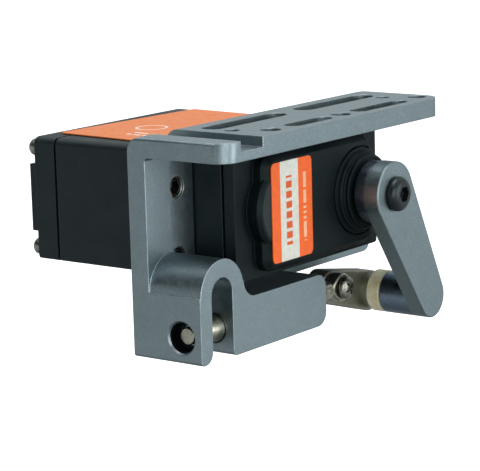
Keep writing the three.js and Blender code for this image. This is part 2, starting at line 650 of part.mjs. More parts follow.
function releasePin() {
  const { x, z, tipY, tipRadius, coneFrom, coneTo, radius, shoulderY, rodRadius, rodEnd } = PIN;
  return turned("Y", x, z, [
    [0, tipY], [tipRadius - SKIN, tipY], [tipRadius, tipY + SKIN], [tipRadius, coneFrom], [radius, coneTo],
    [radius, shoulderY], [rodRadius, shoulderY + GAP], [rodRadius, rodEnd], [0, rodEnd],
  ]);
}

// ---- assembly -----------------------------------------------------------------------------------

const fastenings = earScrewY.flatMap((y) => EAR_SCREWS.z.map((z) => [y, z])).flatMap(([y, z], i) => [
  piece(`ear_screw_${i + 1}`, earScrew(y, z), STEEL),
  piece(`ear_insert_${i + 1}`, earInsert(y, z), BRASS),
]);
const caseScrews = screwPlaces.map(([y, z], i) => piece(`case_screw_${i + 1}`, caseScrew(y, z), STEEL));

const fixed = new THREE.Group();
fixed.add(
  piece("bracket", bracket(), ANODISED),
  piece("servo_mid_case", midCase(), BLACK_CASE),
  piece("servo_rear_cover", rearCover(), BLACK_CASE),
  piece("servo_gear_cover", gearCover(), BLACK_CASE),
  piece("rear_seal", seal(SERVO.rearSeam), RUBBER),
  piece("front_seal", seal(SERVO.frontSeam), RUBBER),
  piece("shaft_collar", collar(), BLACK_METAL),
  piece("output_bearing", outputBearing(), STEEL),
  piece("cable_gland", cableGland(), RUBBER),
  piece("front_label", frontLabel(), ORANGE),
  piece("top_label", topLabel(), ORANGE),
  piece("motor_can", motorCan(), STEEL),
  piece("potentiometer", potentiometer(), BLACK_METAL),
  piece("circuit_board", circuitBoard(), BOARD),
  piece("gear_arbor_1", arbor(1), STEEL),
  piece("gear_arbor_2", arbor(2), STEEL),
  ...fastenings, ...caseScrews,
);

const gearTrain = new THREE.Group();
gearTrain.add(
  piece("motor_pinion", motorPinion(), BRASS),
  piece("first_gear", compoundGear(0), BRASS),
  piece("second_gear", compoundGear(1), STEEL),
);

const crank = new THREE.Group();
crank.add(
  piece("output_gear", outputGear(), STEEL),
  piece("output_shaft", outputShaft(), STEEL),
  piece("crank_arm", crankArm(), CRANK_GREY),
  piece("horn_screw", hornScrew(), BLACK_METAL),
  piece("crank_pin", crankPin(), STEEL),
  piece("crank_washer", crankWasher(), NYLON),
);

const linkage = new THREE.Group();
linkage.add(
  piece("link", link(), LINK_GREY),
  piece("pivot_screw", pivotScrew(), STEEL),
  piece("rod_eye", rodEye(), STEEL),
  piece("release_pin", releasePin(), STEEL),
);

// The origin is in the middle of the plate's top face.
const assembly = new THREE.Group();
assembly.position.set(-BRACKET.width / 2, -BRACKET.length / 2, 0);
assembly.add(fixed, gearTrain, crank, linkage);

const lineRelease = new THREE.Group();
lineRelease.add(assembly);

export default lineRelease;
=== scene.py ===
# Looks of the servo-driven line release: refined meshes, materials, studio and camera.
import json
import math

import bmesh
import bpy
from mathutils import Matrix, Vector


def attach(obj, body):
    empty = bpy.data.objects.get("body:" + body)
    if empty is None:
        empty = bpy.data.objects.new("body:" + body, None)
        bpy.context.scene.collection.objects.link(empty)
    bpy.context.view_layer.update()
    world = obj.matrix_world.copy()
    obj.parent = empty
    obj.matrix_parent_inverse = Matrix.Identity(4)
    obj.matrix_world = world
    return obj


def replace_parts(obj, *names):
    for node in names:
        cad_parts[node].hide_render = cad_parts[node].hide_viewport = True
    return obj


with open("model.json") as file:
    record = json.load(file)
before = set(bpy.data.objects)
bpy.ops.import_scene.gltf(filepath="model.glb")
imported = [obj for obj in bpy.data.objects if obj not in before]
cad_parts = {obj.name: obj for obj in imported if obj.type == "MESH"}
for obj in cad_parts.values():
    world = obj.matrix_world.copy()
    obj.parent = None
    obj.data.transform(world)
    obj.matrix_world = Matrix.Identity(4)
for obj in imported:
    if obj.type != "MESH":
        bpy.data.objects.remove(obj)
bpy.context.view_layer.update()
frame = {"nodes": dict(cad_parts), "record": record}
MM = 0.001

# Sizes below are in millimetres from the bracket's corner, which lies here in the frame.
CORNER = Vector((-9.35, -30.25, 0))
SHAFT = (42.4, -13.65)  # y and z of the servo's output shaft
CRANK_PIN = (53.5, -32.876)
PIVOT = (41.9, -30.17)
RELEASE_PIN = (9.32, -30.17)  # x and z of the pin's axis
BULGE = (21.8, -13.2)
GLAND = (-20.5, -13.65)
CASE_SCREWS = [(y, z) for y in (13.8, 48.9) for z in (-5.6, -22.2)]
CASE_REAR = -30.1
LINK_DROP = 0.3  # how far the link's bar hangs below the line through its two holes
EAR_SCREWS = [(y, z) for y in (7.55, 55.15) for z in (-8.7, -19.7)]
FRONT_LABEL = {"near": 17.8, "far": 28.55, "top": -5.8, "bottom": -21.6}
TOP_LABEL = {"x": -14, "y": 31.9, "skew": -4}

NODES = frame["nodes"]
BODY_OF = {
    node: body
    for body, members in frame["record"]["behaviour"]["bodies"].items()
    for node in members
}
SLOT_OF = {part["node"]: part["material_slot"] for part in frame["record"]["subparts"]}


# ---- materials ----------------------------------------------------------------------------------


def rgb(red, green, blue, shade=1.0):
    """An sRGB colour, 0 to 255 each, as the linear colour that a node takes, made lighter by shade."""
    def linear(v):
        v /= 255
        return v / 12.92 if v <= 0.04045 else ((v + 0.055) / 1.055) ** 2.4
    return (*(min(1, linear(v) * shade) for v in (red, green, blue)), 1.0)


class Nodes:
    """A node tree under construction: short calls that add nodes and link them."""

    def __init__(self, tree, coordinates):
        self.tree = tree
        self.place = self.add("TexCoord").outputs[coordinates]

    def add(self, kind, **inputs):
        node = self.tree.nodes.new("ShaderNode" + kind)
        self.set(node, **inputs)
        return node

    def set(self, node, **inputs):
        for key, value in inputs.items():
            self.feed(node.inputs[key.replace("_", " ")], value)

    def feed(self, socket, value):
        if isinstance(value, bpy.types.NodeSocket):
            self.tree.links.new(value, socket)
        else:
            socket.default_value = value

    def math(self, operation, *values):
        node = self.add("Math")
        node.operation = operation
        for socket, value in zip(node.inputs, values):
            self.feed(socket, value)
        return node.outputs[0]

    def noise(self, size, detail=2.0, rough=0.5, stretch=(1, 1, 1)):
        """Noise whose features are about size millimetres across, from 0 to 1."""
        mapping = self.add("Mapping", Vector=self.place, Scale=stretch)
        node = self.add("TexNoise", Vector=mapping.outputs[0], Scale=1 / (size * MM), Detail=detail, Roughness=rough)
        return node.outputs["Fac"]

    def spread(self, value, low, high, start=0.0, end=1.0):
        """value, from start to end, brought to low and high."""
        node = self.add("MapRange")
        for key, number in zip(("Value", "From Min", "From Max", "To Min", "To Max"), (value, start, end, low, high)):
            self.feed(node.inputs[key], number)
        return node.outputs["Result"]

    def mix(self, factor, first, second):
        node = self.add("Mix")
        node.data_type = "RGBA"
        for index, value in ((0, factor), (6, first), (7, second)):
            self.feed(node.inputs[index], value)
        return node.outputs[2]

    def flat_place(self, origin=(0, 0, 0), turn=0):
        """The x, y and z of a point in millimetres, from an origin and turned about Z by degrees."""
        mapping = self.add("Mapping", Vector=self.place)
        mapping.vector_type = "TEXTURE"
        self.set(mapping, Location=(Vector(origin) + CORNER) * MM, Rotation=(0, 0, math.radians(turn)), Scale=(MM,) * 3)
        return self.add("SeparateXYZ", Vector=mapping.outputs[0]).outputs

    def band(self, value, low, high, soft=0.04):
        """1 where value lies between low and high, else 0, with soft borders."""
        return self.math(
            "MULTIPLY",
            self.spread(value, 0, 1, low - soft, low + soft),
            self.spread(value, 1, 0, high - soft, high + soft),
        )

    def both(self, *masks):
        result = masks[0]
        for mask in masks[1:]:
            result = self.math("MULTIPLY", result, mask)
        return result

    def either(self, *masks):
        result = masks[0]
        for mask in masks[1:]:
            result = self.math("MAXIMUM", result, mask)
        return result


class Shader(Nodes):
    """A material's nodes, which end in one Principled surface."""

    def __init__(self, name, roughness=0.5, metallic=0.0, **inputs):
        self.material = bpy.data.materials.new(name)
        self.material.use_nodes = True
        super().__init__(self.material.node_tree, "Object")
        self.surface = self.tree.nodes["Principled BSDF"]
        self.set(self.surface, Roughness=roughness, Metallic=metallic, **inputs)

    def round_edges(self, radius):
        """Shades sharp edges as round ones, radius millimetres; returns 1 on the edges and 0 on the flats."""
        node = self.add("Bevel", Radius=radius * MM)
        node.samples = 8
        self.feed(self.surface.inputs["Normal"], node.outputs["Normal"])
        compared = self.add("VectorMath")
        compared.operation = "DOT_PRODUCT"
        self.feed(compared.inputs[0], node.outputs["Normal"])
        self.feed(compared.inputs[1], self.add("NewGeometry").outputs["Normal"])
        return self.spread(compared.outputs["Value"], 1, 0, 0.8, 0.99)

    def colour(self, value):
        self.feed(self.surface.inputs["Base Color"], value)

    def roughness(self, value):
        self.feed(self.surface.inputs["Roughness"], value)

    def bump(self, height, depth, strength=1.0):
        """Surface relief: height from 0 to 1 stands for depth millimetres."""
        node = self.add("Bump", Height=height, Strength=strength, Distance=depth * MM)
        normal = self.surface.inputs["Normal"]
        if normal.is_linked:
            self.feed(node.inputs["Normal"], normal.links[0].from_socket)
        self.feed(normal, node.outputs["Normal"])


def anodised(name, base, roughness=0.4, wear=0.06, edge=0.2, burnish=0.9):
    """Bead-blasted and anodised aluminium: a fine speckle, faint clouding, and burnished edges."""
    s = Shader(name, metallic=1.0)
    rim = s.round_edges(edge)
    speckle = s.noise(0.16, detail=2)
    cloud = s.noise(5, detail=3)
    tint = s.mix(s.spread(speckle, 0, 1, 0.3, 0.7), rgb(*base, 0.78), rgb(*base, 1.22))
    tint = s.mix(s.spread(cloud, 0, 0.4, 0.38, 0.66), tint, rgb(*base, 0.9))
    bare = s.spread(s.noise(0.7, detail=5, rough=0.7), 0, wear, 0.52, 0.72)
    worn = s.math("MULTIPLY", rim, s.spread(s.noise(2.5, detail=4), 0.3 * burnish, burnish, 0.35, 0.65))
    s.colour(s.mix(s.either(bare, worn), tint, rgb(214, 222, 224)))
    s.roughness(s.spread(s.noise(0.9, detail=3), roughness - 0.05, roughness + 0.07, 0.3, 0.7))
    s.bump(speckle, 0.014, 0.55)
    return s.material


def moulded(name, base, roughness=0.5, grain=0.16, dust=0.2, relief=0.012, edge=0.22, gloss=0.45):
    """Moulded plastic with a fine spark-eroded grain, patches of handling gloss and specks of dust."""
    s = Shader(name, Specular_IOR_Level=gloss, Specular_Tint=(0.8, 1, 1.04, 1))
    rim = s.round_edges(edge)
    wide = s.noise(4.5, detail=4)
    specks = s.spread(s.noise(0.3, detail=1), 0, dust, 0.72, 0.8)
    body = s.mix(s.spread(wide, 0, 1, 0.35, 0.65), rgb(*base), rgb(*base, 1.35))
    body = s.mix(s.math("MULTIPLY", rim, 0.5), body, rgb(*(24 + 1.2 * v for v in base)))
    s.colour(s.mix(specks, body, rgb(110, 114, 112)))
    s.roughness(s.spread(wide, roughness - 0.06, roughness + 0.09, 0.3, 0.7))
    s.bump(s.noise(grain, detail=2), relief, 0.7)
    return s.material


def machined(name, base, roughness=0.28, along=(1, 1, 1), metallic=1.0, edge=0.1):
    """Turned or milled metal: tool marks drawn out along the stretch, stains and bright rubs."""
    s = Shader(name, metallic=metallic)
    s.round_edges(edge)
    marks = s.noise(0.25, detail=3, stretch=along)
    stain = s.noise(1.2, detail=4, rough=0.6)
    tint = s.mix(s.spread(stain, 0, 1, 0.36, 0.64), rgb(*base, 1.1), rgb(*base, 0.6))
    s.colour(s.mix(s.spread(marks, 0, 0.5, 0.5, 0.75), tint, rgb(*base, 1.5)))
    s.roughness(s.spread(marks, roughness - 0.06, roughness + 0.16, 0.25, 0.75))
    s.bump(marks, 0.012, 0.5)
    return s.material


def clear_nylon(name):
    """Natural nylon: milky, a little yellowed, with faint turning marks."""
    s = Shader(name, Subsurface_Weight=0.25, Subsurface_Scale=0.6 * MM, Subsurface_Radius=(1, 0.9, 0.6))
    s.colour(s.mix(s.spread(s.noise(1.6, detail=3), 0, 1, 0.35, 0.65), rgb(228, 224, 196), rgb(204, 195, 152)))
    marks = s.noise(0.2, detail=2, stretch=(3, 0.3, 0.3))
    s.roughness(s.spread(marks, 0.34, 0.52, 0.3, 0.7))
    s.bump(marks, 0.01, 0.5)
    return s.material


ORANGE = rgb(250, 102, 18)
WHITE = rgb(222, 227, 216)


def vinyl(s, print_mask, ground, ink):
    """The colour and relief of a printed vinyl label: faint mottling, scuffs, an inked pattern."""
    mottle = s.spread(s.noise(1.1, detail=4), 0, 0.16, 0.35, 0.65)
    scuff = s.spread(s.noise(0.5, detail=5, rough=0.75, stretch=(1, 1, 0.3)), 0, 0.25, 0.66, 0.8)
    painted = s.mix(mottle, s.mix(print_mask, ground, ink), rgb(150, 74, 30))
    s.colour(s.mix(scuff, painted, rgb(232, 222, 210)))
    s.roughness(s.spread(s.noise(2.2, detail=3), 0.34, 0.5, 0.3, 0.7))
    s.bump(s.noise(0.5, detail=2), 0.008, 0.5)
    return s.material


def dashes(s, value, pitch, fill):
    """Marks of uneven length along a line: some of the cells of a pitch are inked, up to fill."""
    cell = s.math("FLOOR", s.math("DIVIDE", value, pitch))
    chance = s.add("TexWhiteNoise")
    chance.noise_dimensions = "1D"
    s.feed(chance.inputs["W"], cell)
    return s.math("LESS_THAN", chance.outputs["Value"], fill)


def front_label_look():
    """Three stripes, orange, white and orange, with a row of plain blocks and a row of fine dashes."""
    s = Shader("front_label_print")
    _, y, z = s.flat_place((0, FRONT_LABEL["near"], FRONT_LABEL["bottom"]))
    height = FRONT_LABEL["top"] - FRONT_LABEL["bottom"]
    inside = s.band(z, 2.4, height - 2.4)
    white = s.band(y, 2.25, 7.05)
    step = s.math("FRACT", s.math("DIVIDE", z, 1.6))
    blocks = s.both(s.band(y, 3.75, 5.3), s.band(step, 0.16, 0.84, 0.03), inside)
    fine = s.both(s.band(y, 8.35, 9.15), dashes(s, z, 0.42, 0.72), inside)
    ground = s.mix(white, ORANGE, WHITE)
    return vinyl(s, s.either(blocks, fine), ground, s.mix(white, rgb(250, 190, 150), rgb(226, 88, 24)))


def top_label_look():
    """Orange, with a plain ring and short rows of dashes in white, and a white end stripe."""
    s = Shader("top_label_print")
    x, y, _ = s.flat_place((TOP_LABEL["x"], TOP_LABEL["y"], 0), TOP_LABEL["skew"])
    centre_x, centre_y = -3.4, -4.6
    reach = s.math("SQRT", s.math(
        "ADD",
        s.math("POWER", s.math("ABSOLUTE", s.math("SUBTRACT", x, centre_x)), 2.0),
        s.math("POWER", s.math("ABSOLUTE", s.math("SUBTRACT", y, centre_y)), 2.0),
    ))
    ring = s.band(reach, 2.3, 2.75)
    rows = [
        s.both(s.band(y, row, row + 0.8), s.band(x, -2, 5.5 + i), dashes(s, s.math("ADD", x, 30 * i), 0.5, 0.66))
        for i, row in enumerate((-10.5, -12.4))
    ]
    stripe = s.band(x, 9.6, 14)
    return vinyl(s, s.either(ring, *rows, stripe), rgb(228, 122, 48), rgb(244, 222, 206))


ANODISED = anodised("titanium_grey_anodised", (138, 154, 159))
# A lighter, glossier copy of the anodising: painted highlight for the bead along the hook's join.
HIGHLIGHT_BEAD_GREY = anodised("bead_painted_highlight", (172, 188, 194), roughness=0.32)
CRANK_GREY = anodised("crank_anodised", (134, 150, 154), roughness=0.42)
HUB_DARK = anodised("dark_anodised", (112, 128, 144), roughness=0.32)
CASE_BLACK = moulded("case_black", (6, 15, 18), roughness=0.5)
COVER_BLACK = moulded("cover_black", (6, 14, 16), roughness=0.52, gloss=0.2)
COVER_DISC = moulded("cover_disc", (18, 26, 28), roughness=0.55, grain=0.1)
# A dark copy of the anodising: painted shade for the pin's bore, also the colour of the bush in it.
SHADED_BORE_GREY = anodised("bore_painted_shade", (40, 46, 48), roughness=0.5)
SET_SCREW = machined("blackened_steel", (84, 88, 86), 0.3)
BLACK_METAL = moulded("black_oxide", (20, 23, 25), roughness=0.3, grain=0.1, dust=0.15, relief=0.006)
RUBBER = moulded("rubber_black", (12, 13, 14), roughness=0.72, grain=0.3)
STEEL = machined("turned_steel", (182, 180, 164), along=(0.4, 3, 0.4))
SCREW_STEEL = machined("screw_steel", (150, 150, 140), 0.26)
DULL_STEEL = machined("dull_steel", (112, 112, 106), 0.36)
BRASS = machined("machined_brass", (186, 152, 84), 0.3)
LINK_GREY = anodised("link_grey", (150, 150, 136), roughness=0.48)
NYLON = clear_nylon("natural_nylon")
BOARD = moulded("solder_mask", (24, 80, 52), roughness=0.4)
FRONT_PRINT = front_label_look()
TOP_PRINT = top_label_look()

LOOK_OF_SLOT = {
    "anodised": ANODISED, "crank_grey": CRANK_GREY, "case_black": CASE_BLACK, "black_metal": BLACK_METAL,
    "steel": STEEL, "brass": BRASS, "nylon": NYLON, "rubber": RUBBER, "label_orange": TOP_PRINT,
    "link_grey": LINK_GREY, "board_green": BOARD,
}


# ---- mesh work ----------------------------------------------------------------------------------


def shown(name, node, mesh, look):
    """An object of a mesh, which rides as its CAD node does and wears the look it is given."""
    piece = bpy.data.objects.new(name, mesh)
    bpy.context.scene.collection.objects.link(piece)
    mesh.materials.clear()
    mesh.materials.append(look)
    for face in mesh.polygons:
        face.use_smooth = True
    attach(piece, BODY_OF[node])
    return piece


def rounded(piece, width, segments=2, limit=30):
    """Gives a piece small round edges and shades its flat faces flat."""
    edges = piece.modifiers.new("edges", "BEVEL")
    edges.width = width * MM
    edges.segments = segments
    edges.angle_limit = math.radians(limit)
    edges.use_clamp_overlap = False
    even = piece.modifiers.new("normals", "WEIGHTED_NORMAL")
    even.keep_sharp = False
    even.weight = 100
    return piece


def refined(node, look, limit=38):
    """A copy of a CAD node with smooth arcs between its sharp edges, which stands for the node."""
    work = bmesh.new()
    work.from_mesh(NODES[node].data)
    bmesh.ops.remove_doubles(work, verts=work.verts, dist=0.002 * MM)
    for edge in work.edges:
        edge.smooth = edge.calc_face_angle(0) < math.radians(limit)
    mesh = bpy.data.meshes.new(node)
    work.to_mesh(mesh)
    work.free()
    mesh.attributes.remove(mesh.attributes["custom_normal"]) if "custom_normal" in mesh.attributes else None
    piece = shown(node + "_fine", node, mesh, look)
    even = piece.modifiers.new("normals", "WEIGHTED_NORMAL")
    even.keep_sharp = True
    even.weight = 100
    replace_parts(piece, node)
    return piece


def turned_mesh(axis, centre, profile, sides=64):
    """A mesh of revolution round an axis: profile holds (radius, distance along the axis) pairs."""
    a, b = centre
    along, first, second = {"X": (0, 1, 2), "Y": (1, 0, 2)}[axis]
    work = bmesh.new()

    def point(radius, distance, turn):
        place = [0, 0, 0]
        place[along] = distance
        place[first] = a + radius * math.cos(turn)
        place[second] = b + radius * math.sin(turn)
        return (Vector(place) + CORNER) * MM

    rings = []
    for radius, distance in profile:
        count = sides if radius else 1
        rings.append([work.verts.new(point(radius, distance, 2 * math.pi * i / count)) for i in range(count)])
    pairs = list(zip(rings, rings[1:]))
    if profile[0][0]:
        pairs.append((rings[-1], rings[0]))
    for low, high in pairs:
        for i in range(max(len(low), len(high))):
            corners = [low[i % len(low)], low[(i + 1) % len(low)], high[(i + 1) % len(high)], high[i % len(high)]]
            corners = list(dict.fromkeys(corners))
            if len(corners) > 2:
                work.faces.new(corners)
    bmesh.ops.recalc_face_normals(work, faces=work.faces)
    mesh = bpy.data.meshes.new("turned")
    work.to_mesh(mesh)
    work.free()
    return mesh


def turned(name, node, look, axis, centre, profile, bevel=0.08, sides=64):
    return rounded(shown(name, node, turned_mesh(axis, centre, profile, sides), look), bevel)


def bar_mesh(start, end, low, high, edge):
    """A flat bar along X's planes with two round ends, each (y, z, radius), and rounded rims."""
    (y0, z0, r0), (y1, z1, r1) = start, end
    heading = math.atan2(z1 - z0, y1 - y0)
    spread = math.acos((r0 - r1) / math.hypot(y1 - y0, z1 - z0))
    steps = 32
    ends = [(y1, z1, r1, heading - spread, heading + spread)]
    ends.append((y0, z0, r0, heading + spread, heading + 2 * math.pi - spread))
    levels = [(edge * (1 - math.sin(t)), low + edge * (1 - math.cos(t))) for t in (math.pi * i / 8 for i in range(5))]
    levels += [(inset, low + high - x) for inset, x in reversed(levels)]
    work = bmesh.new()
    loops = []
    for inset, x in levels:
        points = [
            (x, y + (r - inset) * math.cos(t), z + (r - inset) * math.sin(t))
            for y, z, r, first, last in ends
            for t in (first + (last - first) * i / steps for i in range(steps + 1))
        ]
        loops.append([work.verts.new((Vector(p) + CORNER) * MM) for p in points])
    for lower, upper in zip(loops, loops[1:]):
        for i in range(len(lower)):
            j = (i + 1) % len(lower)
            work.faces.new((lower[i], lower[j], upper[j], upper[i]))
    work.faces.new(loops[0][::-1])
    work.faces.new(loops[-1])
    bmesh.ops.recalc_face_normals(work, faces=work.faces)
    mesh = bpy.data.meshes.new("bar")
    work.to_mesh(mesh)
    work.free()
    return mesh


def with_flat_faces(piece):
    """Shades the flat faces of a piece that has its rounds in its mesh already."""
    even = piece.modifiers.new("normals", "WEIGHTED_NORMAL")
    even.weight = 100
    return piece


def box_mesh(low, high, turn=0, pivot=(0, 0, 0), axis="X"):
    """A box between two corners, turned about an axis through a pivot by degrees."""
    work = bmesh.new()
    bmesh.ops.create_cube(work, size=1)
    middle = (Vector(low) + Vector(high)) / 2
    size = [b - a for a, b in zip(low, high)]
    spin = Matrix.Translation(pivot) @ Matrix.Rotation(math.radians(turn), 4, axis) @ Matrix.Translation(-Vector(pivot))
    fit = Matrix.Scale(MM, 4) @ Matrix.Translation(CORNER) @ spin @ Matrix.Translation(middle) @ Matrix.Diagonal((*size, 1))
    bmesh.ops.transform(work, matrix=fit, verts=work.verts)
    mesh = bpy.data.meshes.new("box")
    work.to_mesh(mesh)
    work.free()
    return mesh


def carved(piece, *cutters):
    """Cuts meshes out of a piece's mesh, before its other modifiers."""
    kept = [(m.name, m.show_viewport) for m in piece.modifiers]
    for name, _ in kept:
        piece.modifiers[name].show_viewport = False
    for cutter in cutters:
        tool = bpy.data.objects.new("cutter", cutter)
        bpy.context.scene.collection.objects.link(tool)
        hole = piece.modifiers.new("cut", "BOOLEAN")
        hole.operation = "DIFFERENCE"
        hole.solver = "EXACT"
        hole.object = tool
        seen = piece.evaluated_get(bpy.context.evaluated_depsgraph_get())
        result = bpy.data.meshes.new_from_object(seen)
        piece.modifiers.remove(hole)
        piece.data = result
        bpy.data.objects.remove(tool)
    for name, state in kept:
        piece.modifiers[name].show_viewport = state
    return piece


def hexagon_mesh(centre, across, low, high):
    """A six-sided cutter along X."""
    radius = across / math.sqrt(3)
    return turned_mesh("X", centre, [(0, low), (radius, low), (radius, high), (0, high)], sides=6)


def cross_meshes(centre, x, arm, width, depth, turn, outward):
    """The two cutters of a cross recess: narrow bars through the middle of a screw's head."""
    y, z = centre
    low, high = sorted((x - outward * depth, x + outward))
    return [
        box_mesh((low, y - arm, z - width), (high, y + arm, z + width), turn + quarter, (x, y, z))
        for quarter in (0, 90)
    ]


def bead(name, node, look, points, radius):
    """A thin round bead along a line of points."""
    curve = bpy.data.curves.new(name, "CURVE")
    curve.dimensions = "3D"
    curve.bevel_depth = radius * MM
    curve.bevel_resolution = 2
    line = curve.splines.new("POLY")
    line.points.add(len(points) - 1)
    for target, place in zip(line.points, points):
        target.co = (*((Vector(place) + CORNER) * MM), 1)
    curve.materials.append(look)
    piece = bpy.data.objects.new(name, curve)
    bpy.context.scene.collection.objects.link(piece)
    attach(piece, BODY_OF[node])
    return piece


def helix(x_from, x_to, centre, radius, pitch):
    """Points of a screw thread along X."""
    steps = int(24 * (x_to - x_from) / pitch)
    turns = [2 * math.pi * i / 24 for i in range(steps + 1)]
    return [
        (x_from + (x_to - x_from) * i / steps, centre[0] + radius * math.cos(t), centre[1] + radius * math.sin(t))
        for i, t in enumerate(turns)
    ]


# ---- bracket ------------------------------------------------------------------------------------


def bracket():
    """The bracket, with the bore of the release pin painted dark as shade inside the hole."""
    piece = refined("bracket", ANODISED)
    piece.data.materials.append(SHADED_BORE_GREY)
    for face in piece.data.polygons:
        places = [piece.data.vertices[i].co / MM - CORNER for i in face.vertices]
        # Faces close round the pin's axis take the dark grey: painted shade in the bore.
        if all(math.hypot(p.x - RELEASE_PIN[0], p.z - RELEASE_PIN[1]) < 2.6 for p in places):
            face.material_index = 1


def hook_corner_bead():
    """The fine bright line where the hook's arch runs into the wall: a thin bead in a lighter copy of the anodising, a
    painted highlight.
    """
    x, y, z, radius = 3.3, 5.52, -23.9, 5.35
    arch = [(x, y - radius * math.cos(t), z + radius * math.sin(t)) for t in (math.pi * i / 32 for i in range(25))]
    bead("hook_corner_bead", "bracket", HIGHLIGHT_BEAD_GREY, arch, 0.07)


def ear_screws():
    for i, (y, z) in enumerate(EAR_SCREWS, 1):
        screw = turned(f"ear_screw_{i}_fine", f"ear_screw_{i}", SET_SCREW, "X", (y, z), [
            (0, -2.9), (1.25, -2.9), (1.45, -2.7), (1.45, 2.7), (1.2, 3.0), (0, 3.0),
        ], bevel=0.04, sides=48)
        carved(screw, hexagon_mesh((y, z), 1.9, 1.5, 4))
        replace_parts(screw, f"ear_screw_{i}")
        bead(f"ear_thread_{i}", "bracket", STEEL, helix(1.4, 3.22, (y, z), 1.66, 0.5), 0.12)
        refined(f"ear_insert_{i}", BRASS)


# ---- servo --------------------------------------------------------------------------------------


def servo_case():
    refined("servo_mid_case", CASE_BLACK)
    refined("servo_rear_cover", CASE_BLACK)
    cover = refined("servo_gear_cover", COVER_BLACK)
    # The cover's near side takes the glossier case black, so that side reads lighter than the rest of the cover:
    # painted light by the way a face points.
    cover.data.materials.append(CASE_BLACK)
    for face in cover.data.polygons:
        if face.normal.y < -0.7 and face.center.x / MM - CORNER.x < 11.2:
            face.material_index = 1
    refined("rear_seal", RUBBER)
    refined("front_seal", RUBBER)
    turned("cover_disc", "servo_gear_cover", COVER_DISC, "X", BULGE, [
        (0, 13.5), (6.1, 13.5), (6.1, 13.62), (5.9, 13.68), (0, 13.68),
    ], bevel=0.04)


def shaft_collar():
    """The stepped collar with its fine rings."""
    collar = turned("shaft_collar_fine", "shaft_collar", COVER_BLACK, "X", SHAFT, [
        (3.1, 13.0), (7.1, 13.0), (7.1, 13.7), (6.75, 13.8), (6.75, 13.72), (6.5, 13.72), (6.5, 14.3), (6.2, 14.4),
        (6.2, 14.75), (5.95, 14.75), (5.95, 15.0), (6.1, 15.1), (6.1, 15.4), (5.9, 15.5), (5.5, 15.5), (5.5, 15.35),
        (3.1, 15.35),
    ], 0.06, 96)
    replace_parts(collar, "shaft_collar")


def case_screws():
    """Cross-headed pan screws in the rear cover."""
    for i, (y, z) in enumerate(CASE_SCREWS, 1):
        top = CASE_REAR - 1.85
        screw = turned(f"case_screw_{i}_fine", f"case_screw_{i}", SCREW_STEEL, "X", (y, z), [
            (0, top), (0.6, top), (1.08, top + 0.16), (1.36, top + 0.5), (1.45, top + 0.9), (1.45, top + 1.72),
            (0.8, top + 1.72), (0.8, 10.2), (0, 10.2),
        ], bevel=0.05)
        carved(screw, *cross_meshes((y, z), top, 0.85, 0.17, 0.5, 20 * i, -1))
        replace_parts(screw, f"case_screw_{i}")


def cable_gland():
    """The ribbed rubber sleeve in the far side of the case."""
    far = 50.9
    ribs = [(r, far + 1.9 + 0.35 * i) for i in range(9) for r in ((2.55, 2.35) if i % 2 else (2.35, 2.55))]
    profile = [(1.7, far - 1.6), (2.3, far - 1.6), (2.3, far + 0.1), (3.6, far + 0.1), (3.6, far + 1.2), (3.3, far + 1.4)]
    steps = [(2.8, far + 1.5)] + [
        (radius, far + 1.7 + 0.42 * i + shift)
        for i in range(8) for radius, shift in ((2.4, 0), (2.75, 0.1), (2.75, 0.24), (2.4, 0.34))
    ]
    gland = turned("cable_gland_fine", "cable_gland", RUBBER, "Y", GLAND, profile + steps + [
        (2.45, far + 5.4), (1.7, far + 5.4),
    ], bevel=0.05)
    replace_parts(gland, "cable_gland")


def labels():
    refined("front_label", FRONT_PRINT)
    refined("top_label", TOP_PRINT)


# ---- crank, link and pin ------------------------------------------------------------------------


def crank():
    plate = shown("crank_plate", "crank_arm", bar_mesh((*SHAFT, 5.25), (*CRANK_PIN, 3.55), 17.7, 20.6, 0.25), CRANK_GREY)
    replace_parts(with_flat_faces(plate), "crank_arm")
    turned("crank_hub", "crank_arm", HUB_DARK, "X", SHAFT, [
        (2.75, 15.8), (4.9, 15.8), (5.1, 16), (5.1, 17.8), (2.75, 17.8),
    ], 0.08, 96)
    turned("crank_boss", "crank_arm", HUB_DARK, "X", CRANK_PIN, [
        (1.75, 11.95), (3.4, 11.95), (3.55, 12.1), (3.55, 17.8), (1.75, 17.8),
    ], 0.05, 72)
    seat, head, dome = 20.7, 2.85, 22.35
    profile = [(0, 12.6), (1.5, 12.6), (1.5, seat), (2.6, seat), (head, seat + 0.2), (head, seat + 0.45)]
    profile += [
        (1.45 + (head - 1.45) * math.cos(t), seat + 0.45 + (dome - seat - 0.45) * math.sin(t))
        for t in (math.pi * i / 20 for i in range(1, 11))
    ]
    screw = turned("horn_screw_fine", "horn_screw", BLACK_METAL, "X", SHAFT, [*profile, (0, dome)], bevel=0.05)
    carved(screw, hexagon_mesh(SHAFT, 2.35, dome - 1.2, dome + 1))
    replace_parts(screw, "horn_screw")


